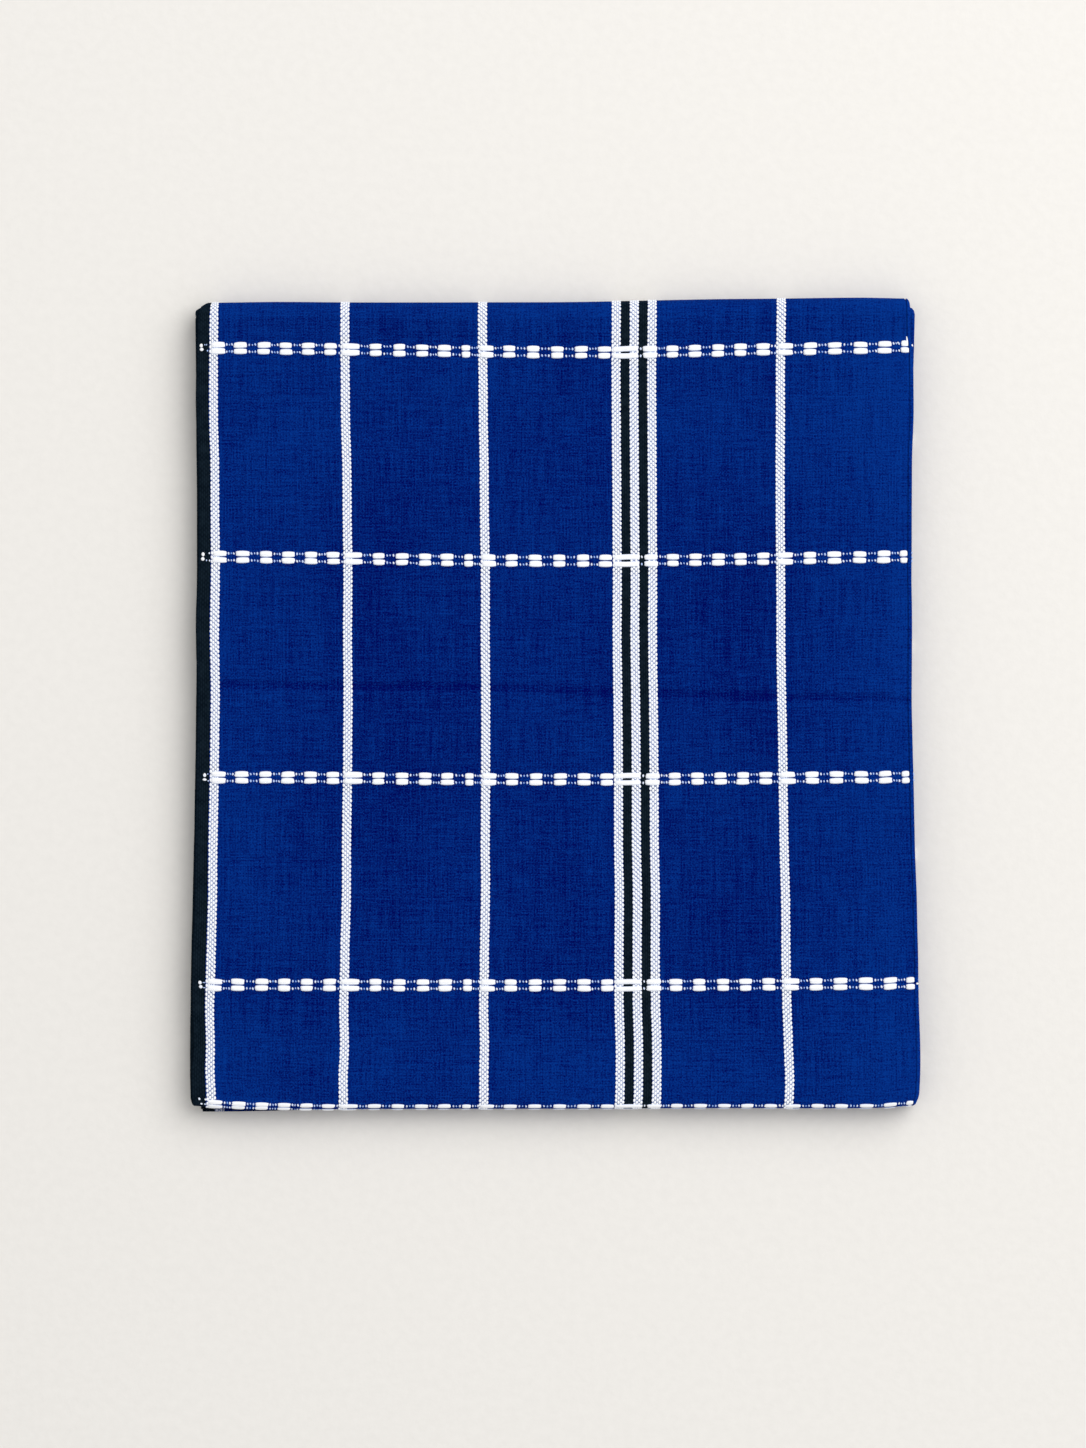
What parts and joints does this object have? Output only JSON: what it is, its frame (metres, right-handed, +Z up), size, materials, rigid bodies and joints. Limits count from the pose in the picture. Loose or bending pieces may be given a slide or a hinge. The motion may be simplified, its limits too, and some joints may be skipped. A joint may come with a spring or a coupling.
{
  "type": "folded cotton fabric",
  "caption": "Hand-woven cotton cloth folded in half across its width and twice along its length, lying flat, with stripes and raised float rows.",
  "frame": {"origin": "under the middle of the folded cloth, on the surface that it lies on", "axes": "+X to the fold across the width, away from the selvedges; +Y to the outer fold at the back; +Z up"},
  "size_m": [0.2556, 0.2852, 0.0121],
  "materials": {
    "cloth_blue": "matte hand-woven cotton, deep blue ground",
    "yarn_white": "matte bleached cotton, stripes and floating rows",
    "yarn_black": "matte black cotton, selvedge and narrow stripes"
  },
  "bodies": {
    "root": {"cloth": "cloth_blue"}
  },
  "joints": []
}
